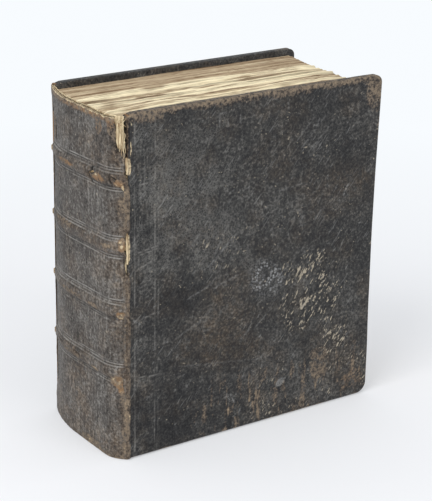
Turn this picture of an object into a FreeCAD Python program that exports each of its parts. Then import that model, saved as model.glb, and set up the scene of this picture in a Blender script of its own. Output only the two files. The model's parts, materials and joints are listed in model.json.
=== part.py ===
"""Antique leather book, standing on its tail: spine towards -X, front cover towards -Y, head up.

The sewn text block, its cords, linings and spine leather stay still. Each cover, a board in its
own leather, swings about the outer edge of its joint. The origin is the bottom centre of the whole.
"""

import FreeCAD
import Part
import math
import os

from FreeCAD import Vector

# The covers. Depths are measured inwards from a cover's outer face.
BOARD_H = 200.0  # cover height, tail to head
BOARD_W = 170.0  # cover width, joint to fore-edge
BACK_SHORT = 4.0  # how much narrower the back cover is
BOOK_T = 82.0  # thickness of the closed book over both covers
COVER_LEATHER_T = 0.9
BOARD_T = 3.6
TURN_IN_T = 0.7  # leather turned in over the board's inner face, pared thin
TURN_IN_W = 15.0
PASTEDOWN_T = 0.3
PASTEDOWN_MARGIN = 4.0  # leather left bare round the pastedown
COVER_EDGE_R = 1.6
COVER_JOINT_R = 1.0
HEAD_CORNER_R = 4.5
TAIL_CORNER_R = 7.0
CORNER_FLARE = 3.0  # how far the front cover's head corner has warped outwards

# The joints.
JOINT_GAP = 0.3  # crease between the spine leather and a cover
BLOCK_AIR = 0.3  # between a pastedown and the text block
GLUE_T = 0.05  # glue between two pieces

# The spine: flat in the middle, with a tight round to the front joint and a slack one to the back.
SPINE_BULGE = 7.7
FRONT_ROUND_W = 14.0
BACK_ROUND_W = 36.0
SPINE_LEATHER_T = 1.2
LINING_T = 0.4
SPINE_HEAD_LOSS = 1.8  # leather worn away at the head
LINING_HEAD_LOSS = 1.2

# Raised bands, from the head down, and the cords under them.
BAND_HEIGHTS = (163.2, 125.2, 88.7, 52.0)
BAND_DROP = 1.8  # every band runs this much lower at the back joint than at the front one
BAND_RISE = 1.3
BAND_W = 9.0  # at its foot, in the leather
CORD_W = 4.6
CORD_RISE = 2.2
LINING_TO_CORD = 0.4

# The cord ends laced into the boards.
SLIP_L = 18.0
SLIP_W = 6.0
SLIP_T = 1.2
PEG_W = 3.2

# The text block.
HEAD_SQUARE = 4.4  # cover beyond the leaves at the head
TAIL_SQUARE = 3.6
FORE_SQUARE = 8.5
GATHERINGS = 22
GROOVE_DEPTH = 0.5  # between two gatherings
HEAD_UNEVEN = 0.9
FORE_UNEVEN = 1.3

# Losses in the spine leather, each from a height up to a height, and as deep as its width.
HEAD_TEAR = (161.0, 200.0, 4.2)
JOINT_CRACK = (106.0, 134.0, 1.7)
BACK_SLIT = (166.0, 181.0, 1.1)

COVER_T = COVER_LEATHER_T + BOARD_T + TURN_IN_T
SPINE_DEPTH = SPINE_LEATHER_T + LINING_T + 2 * GLUE_T
HALF_T = BOOK_T / 2
PASTEDOWN_IN = COVER_T + GLUE_T + PASTEDOWN_T
BLOCK_HALF_T = HALF_T - PASTEDOWN_IN - BLOCK_AIR
HINGE_X = -(BOARD_W - SPINE_BULGE - BAND_RISE) / 2
MID_Y = CORNER_FLARE / 2
FRONT = -1
BACK = 1

PARTS = "parts"


def export(name, shape):
    """Writes one node, after making sure that it is sound."""
    if not shape.isValid() or shape.Volume <= 0 or not shape.Solids:
        raise ValueError(name + " is not a sound solid")
    shape.exportStep(os.path.join(PARTS, name + ".step"))


def box(x_low, x_high, y_low, y_high, z_low, z_high):
    """A box between two corners."""
    corner = Vector(x_low, y_low, z_low)
    return Part.makeBox(x_high - x_low, y_high - y_low, z_high - z_low, corner)


def side_y(side, depth):
    """The Y of a plane at a depth inside the outer face of a cover."""
    return MID_Y + side * (HALF_T - depth)


def fore_edge_x(side):
    """Where a cover ends at the fore-edge."""
    return HINGE_X + BOARD_W - (BACK_SHORT if side == BACK else 0.0)


def flare_of(side):
    """Only the front cover has warped."""
    return CORNER_FLARE if side == FRONT else 0.0


def warped_slab(side, depth_low, depth_high, inset):
    """A slab of a cover between two depths. Its head fore-edge corner leans outwards."""
    y_start = side_y(side, depth_low)
    thickness = -side * (depth_high - depth_low)
    x_start = HINGE_X + JOINT_GAP / 2
    width = fore_edge_x(side) - x_start
    if flare_of(side) == 0:
        y_low, y_high = sorted((y_start, y_start + thickness))
        return box(x_start, x_start + width - inset, y_low, y_high, inset, BOARD_H - inset)
    surface = Part.BezierSurface()
    surface.increase(3, 2)
    for i in range(4):
        for j in range(3):
            lean = side * flare_of(side) if (i, j) == (3, 2) else 0.0
            pole = Vector(x_start + width * i / 3, y_start + lean, BOARD_H * j / 2)
            surface.setPole(i + 1, j + 1, pole)
    surface.segment(0, 1 - inset / width, inset / BOARD_H, 1 - inset / BOARD_H)
    return surface.toShape().extrude(Vector(0, thickness, 0))


def corner_loss(side, radius, inset, at_head):
    """What rounding takes off one fore-edge corner of a layer."""
    y_low = side_y(FRONT, 0) - 2 * CORNER_FLARE
    y_high = side_y(BACK, 0) + 2 * CORNER_FLARE
    r = max(radius - inset, COVER_EDGE_R / 2)
    x_high = fore_edge_x(side) - inset
    z_edge = BOARD_H - inset if at_head else inset
    z_hub = z_edge - r if at_head else z_edge + r
    z_low, z_high = sorted((z_edge, z_hub))
    square = box(x_high - r, x_high + r, y_low, y_high, z_low, z_high)
    hub = Vector(x_high - r, y_low, z_hub)
    return square.cut(Part.makeCylinder(r, y_high - y_low, hub, Vector(0, 1, 0)))


def cover_layer(side, depth_low, depth_high, inset):
    """One layer of a cover, following its warp, inset from head, tail and fore-edge."""
    slab = warped_slab(side, depth_low, depth_high, inset)
    slab = slab.cut(corner_loss(side, HEAD_CORNER_R, inset, True))
    return slab.cut(corner_loss(side, TAIL_CORNER_R, inset, False))


def large_face(shape, side, outer):
    """The outer or the inner one of a cover's two large faces."""
    large = sorted(shape.Faces, key=lambda face: face.Area)[-2:]
    large.sort(key=lambda face: side * face.CenterOfMass.y)
    return large[-1] if outer else large[0]


def rim_edges(face):
    """A large face's edges along head, tail and fore-edge."""
    return [edge for edge in face.Edges if edge.BoundBox.XMax > HINGE_X + COVER_EDGE_R]


def rounded_cover(side):
    """The whole covered board, its outer edges soft and its inner ones crisp."""
    cover = cover_layer(side, 0, COVER_T, 0)
    outer = large_face(cover, side, True)
    joint = [edge for edge in outer.Edges if edge.BoundBox.XMax < HINGE_X + COVER_EDGE_R]
    cover = cover.makeFillet(COVER_JOINT_R, joint)
    return cover.makeFillet(COVER_EDGE_R, rim_edges(large_face(cover, side, True)))


def slip_prisms(side):
    """The space of each laced cord end: a flat tongue, then a peg through the board."""
    y_tongue = sorted((side_y(side, 0), side_y(side, COVER_LEATHER_T + SLIP_T)))
    y_peg = sorted((side_y(side, 0), side_y(side, COVER_T)))
    x_tip = HINGE_X + SLIP_L
    prisms = []
    for middle in BAND_HEIGHTS:
        height = middle - side * BAND_DROP / 2
        low = height - SLIP_W / 2
        tongue = box(HINGE_X, x_tip, y_tongue[0], y_tongue[1], low, low + SLIP_W)
        peg_low = height - PEG_W / 2
        peg_x = x_tip - 1.5 * PEG_W
        peg = box(peg_x, peg_x + PEG_W, y_peg[0], y_peg[1], peg_low, peg_low + PEG_W)
        prisms.append(tongue.fuse(peg))
    return prisms


def make_cover(side, name):
    """A board with its leather, pastedown and laced cord ends, all swinging together."""
    board_in = COVER_LEATHER_T + BOARD_T
    core = cover_layer(side, COVER_LEATHER_T, board_in, COVER_LEATHER_T)
    board = core
    for number, prism in enumerate(slip_prisms(side), 1):
        export(name + "_slip_" + str(number), core.common(prism))
        board = board.cut(prism)
    export(name + "_board", board)

    near = COVER_LEATHER_T - GLUE_T
    board_space = cover_layer(side, near, board_in + GLUE_T, near)
    window = cover_layer(side, board_in, COVER_T, TURN_IN_W)
    export(name + "_leather", rounded_cover(side).cut(board_space).cut(window))

    over_leather = cover_layer(side, COVER_T + GLUE_T, PASTEDOWN_IN, PASTEDOWN_MARGIN)
    in_window = cover_layer(side, board_in + GLUE_T, PASTEDOWN_IN, TURN_IN_W + GLUE_T)
    step = TURN_IN_W + GLUE_T + PASTEDOWN_T
    recess = cover_layer(side, board_in + GLUE_T + PASTEDOWN_T, PASTEDOWN_IN, step)
    export(name + "_pastedown", over_leather.fuse(in_window).cut(recess).removeSplitter())


def spine_round(side, depth):
    """The hub and radius of one side's round, at a depth inside the spine leather."""
    reach = FRONT_ROUND_W if side == FRONT else BACK_ROUND_W
    radius = (SPINE_BULGE**2 + reach**2) / (2 * SPINE_BULGE)
    hub = Vector(HINGE_X - SPINE_BULGE + radius, side_y(side, reach), 0)
    return hub, radius - depth


def round_points(side, depth, x_end):
    """Three points on one round: its end at a given X, its middle and where the flat begins."""
    hub, radius = spine_round(side, depth)
    to_end = Vector(x_end - hub.x, side * math.sqrt(radius**2 - (x_end - hub.x) ** 2), 0)
    halfway = (to_end.normalize() + Vector(-1, 0, 0)).normalize()
    return hub + to_end * radius, hub + halfway * radius, hub - Vector(radius, 0, 0)


def spine_edges(depth, z, x_end):
    """The spine's outline from the front joint round to the back one, at a height."""
    front = [point + Vector(0, 0, z) for point in round_points(FRONT, depth, x_end)]
    back = [point + Vector(0, 0, z) for point in round_points(BACK, depth, x_end)]
    return [
        Part.Arc(front[0], front[1], front[2]).toShape(),
        Part.makeLine(front[2], back[2]),
        Part.Arc(back[2], back[1], back[0]).toShape(),
    ]


def spine_prism(depth, z_low, z_high):
    """Everything inside the spine's outline at a depth, between two heights."""
    edges = spine_edges(depth, z_low, HINGE_X)
    start = edges[0].Vertexes[0].Point
    end = edges[-1].Vertexes[-1].Point
    face = Part.Face(Part.Wire(edges + [Part.makeLine(end, start)]))
    return face.extrude(Vector(0, 0, z_high - z_low))


def swept_round_spine(depth, height, section):
    """Sweeps a section round the spine. Its points are (rise, height) from the path."""
    x_end = HINGE_X + 2 * BAND_RISE
    path = Part.Wire(spine_edges(depth, height, x_end))
    hub, radius = spine_round(FRONT, depth)
    start = round_points(FRONT, depth, x_end)[0]
    outward = (start - hub) / radius
    foot = start + Vector(0, 0, height)
    edges = []
    for points in section:
        placed = [foot + outward * rise + Vector(0, 0, along) for rise, along in points]
        if len(placed) == 2:
            edges.append(Part.makeLine(placed[0], placed[1]))
        else:
            edges.append(Part.Arc(placed[0], placed[1], placed[2]).toShape())
    sweep = path.makePipeShell([Part.Wire(edges)], True, False)
    tilt = math.degrees(math.atan2(BAND_DROP, BOOK_T))
    return sweep.rotate(Vector(0, MID_Y, height), Vector(-1, 0, 0), tilt)


def band_section():
    """A band: one low arch, its foot sunk in the leather."""
    half = BAND_W / 2
    sunk = -SPINE_LEATHER_T / 2
    return [[(sunk, -half), (BAND_RISE, 0), (sunk, half)], [(sunk, half), (sunk, -half)]]


def cord_section(growth):
    """A cord pressed flat under the leather: a low trapezium, or the room for one."""
    foot = CORD_W / 2 + growth
    top = CORD_W / 4 + growth
    rise = CORD_RISE + growth
    corners = [(0, -foot), (rise, -top), (rise, top), (0, foot)]
    return list(zip(corners, corners[1:] + corners[:1]))


def band_room(depth, z_low, z_high):
    """The spine's outline moved out past the bands, so that bands and cords fade at the joints."""
    shift = BAND_RISE + JOINT_GAP
    room = spine_prism(depth, z_low, z_high)
    room.translate(Vector(-shift, 0, 0))
    y_low = side_y(FRONT, depth)
    y_high = side_y(BACK, depth)
    return room.fuse(box(HINGE_X - shift, HINGE_X, y_low, y_high, z_low, z_high))


def behind_joint(z_low, z_high):
    """The room that the spine's pieces may fill: behind both joints and inside both cover faces."""
    x_low = HINGE_X - SPINE_BULGE - 2 * BAND_RISE
    x_high = HINGE_X - JOINT_GAP / 2
    return box(x_low, x_high, side_y(FRONT, 0), side_y(BACK, 0), z_low, z_high)


def band_cord(height, growth):
    """One sewing cord across the spine folds, or with some growth the room for it."""
    cord = swept_round_spine(SPINE_DEPTH - GLUE_T, height, cord_section(growth))
    low = height - CORD_W
    high = height + CORD_W
    room = band_room(SPINE_LEATHER_T - growth, low, high)
    return cord.common(behind_joint(low, high)).common(room)


def ragged_loss(side, loss):
    """A torn-away strip of leather along a joint, narrowing to a point at its lower end."""
    low, high, width = loss
    teeth = 7
    y_outer = side_y(side, -BAND_RISE)
    points = [Vector(HINGE_X, y_outer, low)]
    for tooth in range(1, teeth + 1):
        share = tooth / teeth
        reach = width * math.sqrt(share) * (1.0 if tooth % 2 else 0.78)
        z = low + (high - low) * share
        points.append(Vector(HINGE_X, side_y(side, reach), z))
    points.append(Vector(HINGE_X, y_outer, high))
    points.append(points[0])
    face = Part.Face(Part.makePolygon(points))
    return face.extrude(Vector(-SPINE_BULGE, 0, 0))


def spine_leather():
    """The leather over the back, moulded over the cords, with its worn head and torn joints."""
    top = BOARD_H - SPINE_HEAD_LOSS
    leather = spine_prism(0, 0, top)
    for height in BAND_HEIGHTS:
        band = swept_round_spine(0, height, band_section())
        room = band_room(0, height - BAND_W, height + BAND_W)
        leather = leather.fuse(band.common(room))
    leather = leather.cut(spine_prism(SPINE_LEATHER_T, -1, BOARD_H))
    leather = leather.common(behind_joint(0, top))
    for height in BAND_HEIGHTS:
        leather = leather.cut(band_cord(height, GLUE_T))
    leather = leather.cut(ragged_loss(FRONT, HEAD_TEAR))
    slits = (ragged_loss(FRONT, JOINT_CRACK), ragged_loss(BACK, BACK_SLIT))
    for slit in slits:
        leather = leather.cut(slit)
    return max(leather.Solids, key=lambda solid: solid.Volume)


def lining_spans():
    """The heights of the panels between the cords, from the head down."""
    clear = (CORD_W + BAND_DROP) / 2 + LINING_TO_CORD
    tops = [BOARD_H - LINING_HEAD_LOSS] + [height - clear for height in BAND_HEIGHTS]
    bottoms = [height + clear for height in BAND_HEIGHTS] + [TAIL_SQUARE]
    return list(zip(bottoms, tops))


def spine_lining(z_low, z_high):
    """A parchment strip glued across the spine folds, under the leather."""
    strip = spine_prism(SPINE_LEATHER_T + GLUE_T, z_low, z_high)
    strip = strip.cut(spine_prism(SPINE_DEPTH - GLUE_T, z_low, z_high))
    return strip.common(behind_joint(z_low, z_high))


def block_plan():
    """The text block without its unevenness: leaves, and backed shoulders behind the boards."""
    x_fore = HINGE_X + BOARD_W
    y_low = MID_Y - BLOCK_HALF_T
    y_high = MID_Y + BLOCK_HALF_T
    leaves = box(HINGE_X - JOINT_GAP, x_fore, y_low, y_high, 0, BOARD_H)
    back = spine_prism(SPINE_DEPTH, 0, BOARD_H).common(behind_joint(0, BOARD_H))
    return leaves.fuse(back)


def gathering(plan, number):
    """One folded gathering, with its own height and fore-edge, chamfered along its outer edges."""
    thickness = 2 * BLOCK_HALF_T / GATHERINGS
    y_low = MID_Y - BLOCK_HALF_T + number * thickness
    y_high = y_low + thickness
    if number == 0:
        y_low = side_y(FRONT, 0)
    if number == GATHERINGS - 1:
        y_high = side_y(BACK, 0)
    wave = math.sin(2.3 * number) * 0.6 + math.sin(5.1 * number + 1.0) * 0.4
    x_low = HINGE_X - SPINE_BULGE
    x_high = HINGE_X + BOARD_W - FORE_SQUARE + FORE_UNEVEN * wave
    z_low = TAIL_SQUARE + HEAD_UNEVEN * (0.5 + 0.5 * wave)
    z_high = BOARD_H - HEAD_SQUARE + HEAD_UNEVEN * wave
    nick = GROOVE_DEPTH
    points = [
        Vector(x_low, y_low, z_low + nick),
        Vector(x_low, y_low + nick, z_low),
        Vector(x_low, y_high - nick, z_low),
        Vector(x_low, y_high, z_low + nick),
        Vector(x_low, y_high, z_high - nick),
        Vector(x_low, y_high - nick, z_high),
        Vector(x_low, y_low + nick, z_high),
        Vector(x_low, y_low, z_high - nick),
    ]
    face = Part.Face(Part.makePolygon(points + points[:1]))
    return face.extrude(Vector(x_high - x_low, 0, 0)).common(plan)


def text_block():
    """All the gatherings, sewn and glued into one block."""
    plan = block_plan()
    sections = [gathering(plan, number) for number in range(GATHERINGS)]
    return sections[0].multiFuse(sections[1:]).removeSplitter()


def main():
    os.makedirs(PARTS, exist_ok=True)
    export("text_block", text_block())
    for number, height in enumerate(BAND_HEIGHTS, 1):
        export("band_cord_" + str(number), band_cord(height, 0))
    for number, (z_low, z_high) in enumerate(lining_spans(), 1):
        export("spine_lining_" + str(number), spine_lining(z_low, z_high))
    export("spine_leather", spine_leather())
    make_cover(FRONT, "front")
    make_cover(BACK, "back")


main()
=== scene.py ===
"""Antique leather book: its looks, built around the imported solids.

Lengths are in millimetres until a mesh is made, and places are in the row frame: spine towards -X,
front cover towards -Y, head up.
"""

import json
import math

import bmesh
import bpy
import numpy as np
from mathutils import Matrix, Vector


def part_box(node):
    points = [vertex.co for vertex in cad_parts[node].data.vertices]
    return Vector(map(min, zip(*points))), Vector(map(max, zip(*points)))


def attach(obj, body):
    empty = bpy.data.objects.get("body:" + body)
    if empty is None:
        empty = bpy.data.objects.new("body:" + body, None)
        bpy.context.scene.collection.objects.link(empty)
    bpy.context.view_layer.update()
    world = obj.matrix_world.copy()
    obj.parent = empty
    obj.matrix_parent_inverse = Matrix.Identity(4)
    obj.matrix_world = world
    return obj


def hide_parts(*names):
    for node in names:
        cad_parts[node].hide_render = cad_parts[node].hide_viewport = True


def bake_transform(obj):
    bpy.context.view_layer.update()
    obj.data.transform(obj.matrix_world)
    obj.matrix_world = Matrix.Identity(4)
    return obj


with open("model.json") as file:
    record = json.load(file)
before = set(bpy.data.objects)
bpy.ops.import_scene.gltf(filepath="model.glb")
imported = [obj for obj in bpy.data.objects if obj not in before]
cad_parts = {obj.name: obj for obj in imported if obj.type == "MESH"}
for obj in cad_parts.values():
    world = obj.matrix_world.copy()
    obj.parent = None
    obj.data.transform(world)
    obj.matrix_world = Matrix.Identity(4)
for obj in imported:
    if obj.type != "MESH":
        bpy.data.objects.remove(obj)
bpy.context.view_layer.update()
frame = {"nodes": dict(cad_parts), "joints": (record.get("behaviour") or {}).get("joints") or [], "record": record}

MM = 0.001

# Sizes read from the frame.
hinges = {joint["name"]: joint for joint in frame["joints"]}
HINGE_X = hinges["front_joint"]["pos_m"][0] / MM
AXIS_OUT = 0.3  # hinge axis, outside a cover's outer face
FRONT_Y = hinges["front_joint"]["pos_m"][1] / MM + AXIS_OUT
BACK_Y = hinges["back_joint"]["pos_m"][1] / MM - AXIS_OUT
MID_Y = (FRONT_Y + BACK_Y) / 2
BOARD_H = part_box("front_leather")[1].z / MM
FRONT_FORE_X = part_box("front_leather")[1].x / MM
BACK_FORE_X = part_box("back_leather")[1].x / MM
COVER_T = BACK_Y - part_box("back_leather")[0].y / MM

# The form, as in the solids.
JOINT_GAP = 0.3
FLARE = 3.0  # lean of the front cover's head corner
SPINE_BULGE = 7.7
FRONT_ROUND_W = 14.0
BACK_ROUND_W = 36.0
SPINE_LEATHER_T = 1.2
LINING_T = 0.4
GLUE_T = 0.05
SPINE_TOP = 198.2
LINING_TOP = 198.8
BAND_HEIGHTS = (163.2, 125.2, 88.7, 52.0)
BAND_DROP = 1.8
BAND_RISE = 1.3
BAND_W = 9.0
FRONT, BACK = -1, 1
FACE_Y = {FRONT: FRONT_Y, BACK: BACK_Y}


def smooth(low, high, value):
    """0 below low, 1 above high, and an even S between them. It also works downwards."""
    share = np.clip((np.asarray(value, float) - low) / (high - low), 0, 1)
    return share * share * (3 - 2 * share)


def within(value, start, first, last, end):
    """1 from first to last, fading to 0 at start and at end."""
    return smooth(start, first, value) * smooth(end, last, value)


def highest(*masks):
    """The largest of several masks, place by place."""
    return np.max(np.broadcast_arrays(*masks), axis=0)


def ripple(u, v, seed, octaves=1):
    """Even noise between about -1 and 1 over a plane, with features one unit wide."""
    total = 0
    for octave in range(octaves):
        table = np.random.default_rng(seed + octave).uniform(-1, 1, (97, 97))
        a = np.asarray(u, float) * 2**octave + 31.7 * octave
        b = np.asarray(v, float) * 2**octave + 17.3 * octave
        a, b = np.broadcast_arrays(a, b)
        i, j = np.floor(a).astype(int), np.floor(b).astype(int)
        fa, fb = smooth(0, 1, a - i), smooth(0, 1, b - j)
        near = table[i % 97, j % 97] * (1 - fa) + table[(i + 1) % 97, j % 97] * fa
        far = table[i % 97, (j + 1) % 97] * (1 - fa) + table[(i + 1) % 97, (j + 1) % 97] * fa
        total = total + (near * (1 - fb) + far * fb) / 2**octave
    return total


def spot(u, v, centre, size, turn=0.0):
    """A soft round or long patch: 1 at its centre and 0 outside. Turn is in degrees."""
    c, s = math.cos(math.radians(turn)), math.sin(math.radians(turn))
    a = ((u - centre[0]) * c + (v - centre[1]) * s) / size[0]
    b = ((v - centre[1]) * c - (u - centre[0]) * s) / size[1]
    return smooth(1, 0, np.hypot(a, b))


def spots(u, v, table):
    """The sum of soft patches, each with its strength, centre, size and perhaps turn."""
    return sum(strength * spot(u, v, *place) for strength, *place in table)


def stroke(u, v, start, end, width):
    """A scratch between two points, fading at its ends."""
    du, dv = end[0] - start[0], end[1] - start[1]
    along = ((u - start[0]) * du + (v - start[1]) * dv) / (du * du + dv * dv)
    near = np.clip(along, 0, 1)
    away = np.hypot(u - start[0] - near * du, v - start[1] - near * dv)
    return smooth(width, 0, away) * smooth(-0.02, 0.15, along) * smooth(1.02, 0.8, along)


def link(made):
    """Puts an object in the scene."""
    bpy.context.scene.collection.objects.link(made)
    return made


class Skin:
    """Collects the points, faces and wear masks of one piece."""

    def __init__(self):
        self.points, self.faces, self.masks, self.count = [], [], {}, 0

    def grid(self, points, **masks):
        """Adds points laid out in rows and columns, and returns their numbers laid out the same."""
        points = np.asarray(points, float)
        shape = points.shape[:-1]
        numbers = self.count + np.arange(int(np.prod(shape))).reshape(shape)
        for name, values in masks.items():
            column = np.broadcast_to(np.asarray(values, float), shape).ravel()
            self.masks.setdefault(name, []).append((self.count, column))
        self.points.append(points.reshape(-1, 3))
        self.count += numbers.size
        return numbers

    def quads(self, numbers):
        """Joins neighbouring rows and columns of numbered points with four-sided faces."""
        corners = (numbers[:-1, :-1], numbers[1:, :-1], numbers[1:, 1:], numbers[:-1, 1:])
        self.faces += np.stack(corners, -1).reshape(-1, 4).tolist()

    def shell(self, top, under):
        """Closes two numbered grids into one sheet."""
        self.quads(top)
        self.quads(under)
        edges = [np.concatenate([g[:, 0], g[-1, 1:], g[-2::-1, -1], g[0, -2::-1]]) for g in (top, under)]
        self.quads(np.stack(edges))

    def cap(self, loop):
        """Closes a loop of numbered points with one face."""
        self.faces.append([int(number) for number in loop])

    def build(self, name, material):
        """Makes the object, its faces turned outwards."""
        mesh = bpy.data.meshes.new(name)
        points = np.concatenate(self.points) * MM
        mesh.from_pydata(points.tolist(), [], self.faces)
        for mask, parts in self.masks.items():
            values = np.zeros(self.count, np.float32)
            for first, column in parts:
                values[first : first + column.size] = column
            mesh.attributes.new(mask, "FLOAT", "POINT").data.foreach_set("value", values)
        work = bmesh.new()
        work.from_mesh(mesh)
        bmesh.ops.recalc_face_normals(work, faces=work.faces)
        work.to_mesh(mesh)
        work.free()
        mesh.shade_smooth()
        mesh.materials.append(material)
        return link(bpy.data.objects.new(name, mesh))


class Finish:
    """Builds a material, or the world, from nodes. Sizes are in millimetres, in the row frame."""

    def __init__(self, name, owners=bpy.data.materials):
        self.owner = owners.new(name)
        self.owner.use_nodes = True
        self.tree = self.owner.node_tree
        self.tree.nodes.clear()
        self.place = self.add("ShaderNodeTexCoord").outputs["Object"]

    def add(self, kind, inputs=None, **settings):
        """Adds a node, with values or links on its inputs."""
        node = self.tree.nodes.new(kind)
        for key, value in settings.items():
            setattr(node, key, value)
        for key, value in (inputs or {}).items():
            if isinstance(value, bpy.types.NodeSocket):
                self.tree.links.new(value, node.inputs[key])
            else:
                node.inputs[key].default_value = value
        return node

    def times(self, a, b):
        """A product, held between 0 and 1."""
        return self.add("ShaderNodeMath", {0: a, 1: b}, operation="MULTIPLY", use_clamp=True).outputs[0]

    def most(self, a, b):
        """The larger of two values."""
        return self.add("ShaderNodeMath", {0: a, 1: b}, operation="MAXIMUM").outputs[0]

    def total(self, start, *terms):
        """Start plus each value times its weight."""
        for value, weight in terms:
            inputs = {0: value, 1: weight, 2: start}
            start = self.add("ShaderNodeMath", inputs, operation="MULTIPLY_ADD").outputs[0]
        return start

    def space(self, sizes, turn=0.0):
        """Texture space with a unit of its own along each axis, leaning from +Z towards +X by degrees."""
        scale = [size * MM for size in sizes]
        inputs = {"Vector": self.place, "Scale": scale, "Rotation": (0.0, math.radians(turn), 0.0)}
        return self.add("ShaderNodeMapping", inputs, vector_type="TEXTURE").outputs["Vector"]

    def noise(self, size, detail=3.0, roughness=0.55, turn=0.0):
        """Noise between 0 and 1, with features of a size, or of a size along each axis."""
        sizes = size if isinstance(size, tuple) else (size, size, size)
        inputs = {
            "Vector": self.space(sizes, turn),
            "Scale": 1.0,
            "Detail": detail,
            "Roughness": roughness,
        }
        return self.add("ShaderNodeTexNoise", inputs).outputs["Fac"]

    def cells(self, size, feature="F1"):
        """Distance within a pattern of cells of a size."""
        inputs = {"Vector": self.space((size, size, size)), "Scale": 1.0}
        return self.add("ShaderNodeTexVoronoi", inputs, feature=feature).outputs["Distance"]

    def between(self, value, low, high):
        """0 at low and 1 at high, also where high is the smaller one."""
        start, end = (0.0, 1.0) if low < high else (1.0, 0.0)
        inputs = {"Value": value, "From Min": min(low, high), "From Max": max(low, high)}
        inputs.update({"To Min": start, "To Max": end})
        node = self.add("ShaderNodeMapRange", inputs, interpolation_type="SMOOTHSTEP")
        return node.outputs["Result"]

    def mixed(self, share, first, second):
        """A mix of two shaders."""
        inputs = {0: share, 1: first.outputs[0], 2: second.outputs[0]}
        return self.add("ShaderNodeMixShader", inputs)

    def mask(self, name):
        """A wear mask held in the mesh."""
        return self.add("ShaderNodeAttribute", attribute_name=name).outputs["Fac"]

    def blend(self, share, first, second, kind="MIX"):
        """A mix of two colours."""
        colours = [c if isinstance(c, bpy.types.NodeSocket) else (*c, 1.0) for c in (first, second)]
        inputs = {0: share, 6: colours[0], 7: colours[1]}
        return self.add("ShaderNodeMix", inputs, data_type="RGBA", blend_type=kind).outputs[2]

    def ramp(self, value, *stops):
        """A colour for each value, between stops of a value and a colour."""
        node = self.add("ShaderNodeValToRGB", {"Fac": value})
        elements = node.color_ramp.elements
        while len(elements) < len(stops):
            elements.new(0.5)
        for element, (place, colour) in zip(elements, stops):
            element.position = place
            element.color = (*colour, 1.0)
        return node.outputs["Color"]

    def bump(self, height, distance, below=None):
        """Relief of a height in millimetres, over an earlier one."""
        inputs = {"Height": height, "Distance": distance * MM, "Strength": 1.0}
        if below:
            inputs["Normal"] = below
        return self.add("ShaderNodeBump", inputs).outputs["Normal"]

    def close(self, colour, roughness, normal, gloss):
        """Ends the material in one surface shader."""
        return self.end(self.surface(colour, roughness, gloss, Normal=normal))

    def surface(self, colour, roughness, gloss, **others):
        """The surface shader."""
        inputs = {"Base Color": colour, "Roughness": roughness, "Specular IOR Level": gloss, **others}
        return self.add("ShaderNodeBsdfPrincipled", inputs)

    def end(self, shader, kind="Material"):
        """Ends the nodes in one shader."""
        self.add("ShaderNodeOutput" + kind, {"Surface": shader.outputs[0]})
        return self.owner

    def seen(self):
        """1 where the camera looks, straight or by way of a reflection or glass."""
        path = self.add("ShaderNodeLightPath").outputs
        looks = self.most(path["Is Camera Ray"], path["Is Glossy Ray"])
        return self.most(looks, path["Is Transmission Ray"])


# Colours, as the photograph's surfaces would read under a plain light.
# near black laid into cracks and the worm hole: painted shade
CRACK_SHADE_BLACK = (0.006, 0.005, 0.004)
BROWN = (0.088, 0.060, 0.042)
DULL_TAN = (0.165, 0.131, 0.098)
TAN = (0.270, 0.203, 0.135)
ORANGE = (0.235, 0.128, 0.056)
CREAM = (0.640, 0.530, 0.340)
BONE = (0.400, 0.350, 0.270)
SILVER = (0.240, 0.240, 0.235)
NET_GREY = (0.150, 0.148, 0.140)
PEBBLE_GREY = (0.300, 0.305, 0.310)
# pale ruled lines and creases; on the covers' ruled lines it is painted highlight
LINE_PALE_AND_HIGHLIGHT = (0.330, 0.320, 0.300)
BROWN_CAST = (1.30, 1.08, 0.86)  # multiplies the leather's own colour
COVER_TONES = (0.006, 0.006, 0.007), (0.020, 0.020, 0.021), (0.040, 0.039, 0.037), (0.115, 0.112, 0.106)
# the spine's tones: the covers' dark leather painted lighter, as painted light on the spine's lit side
SPINE_LIT_TONES = (0.016, 0.014, 0.012), (0.058, 0.050, 0.044), (0.100, 0.091, 0.082), (0.210, 0.200, 0.186)


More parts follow.
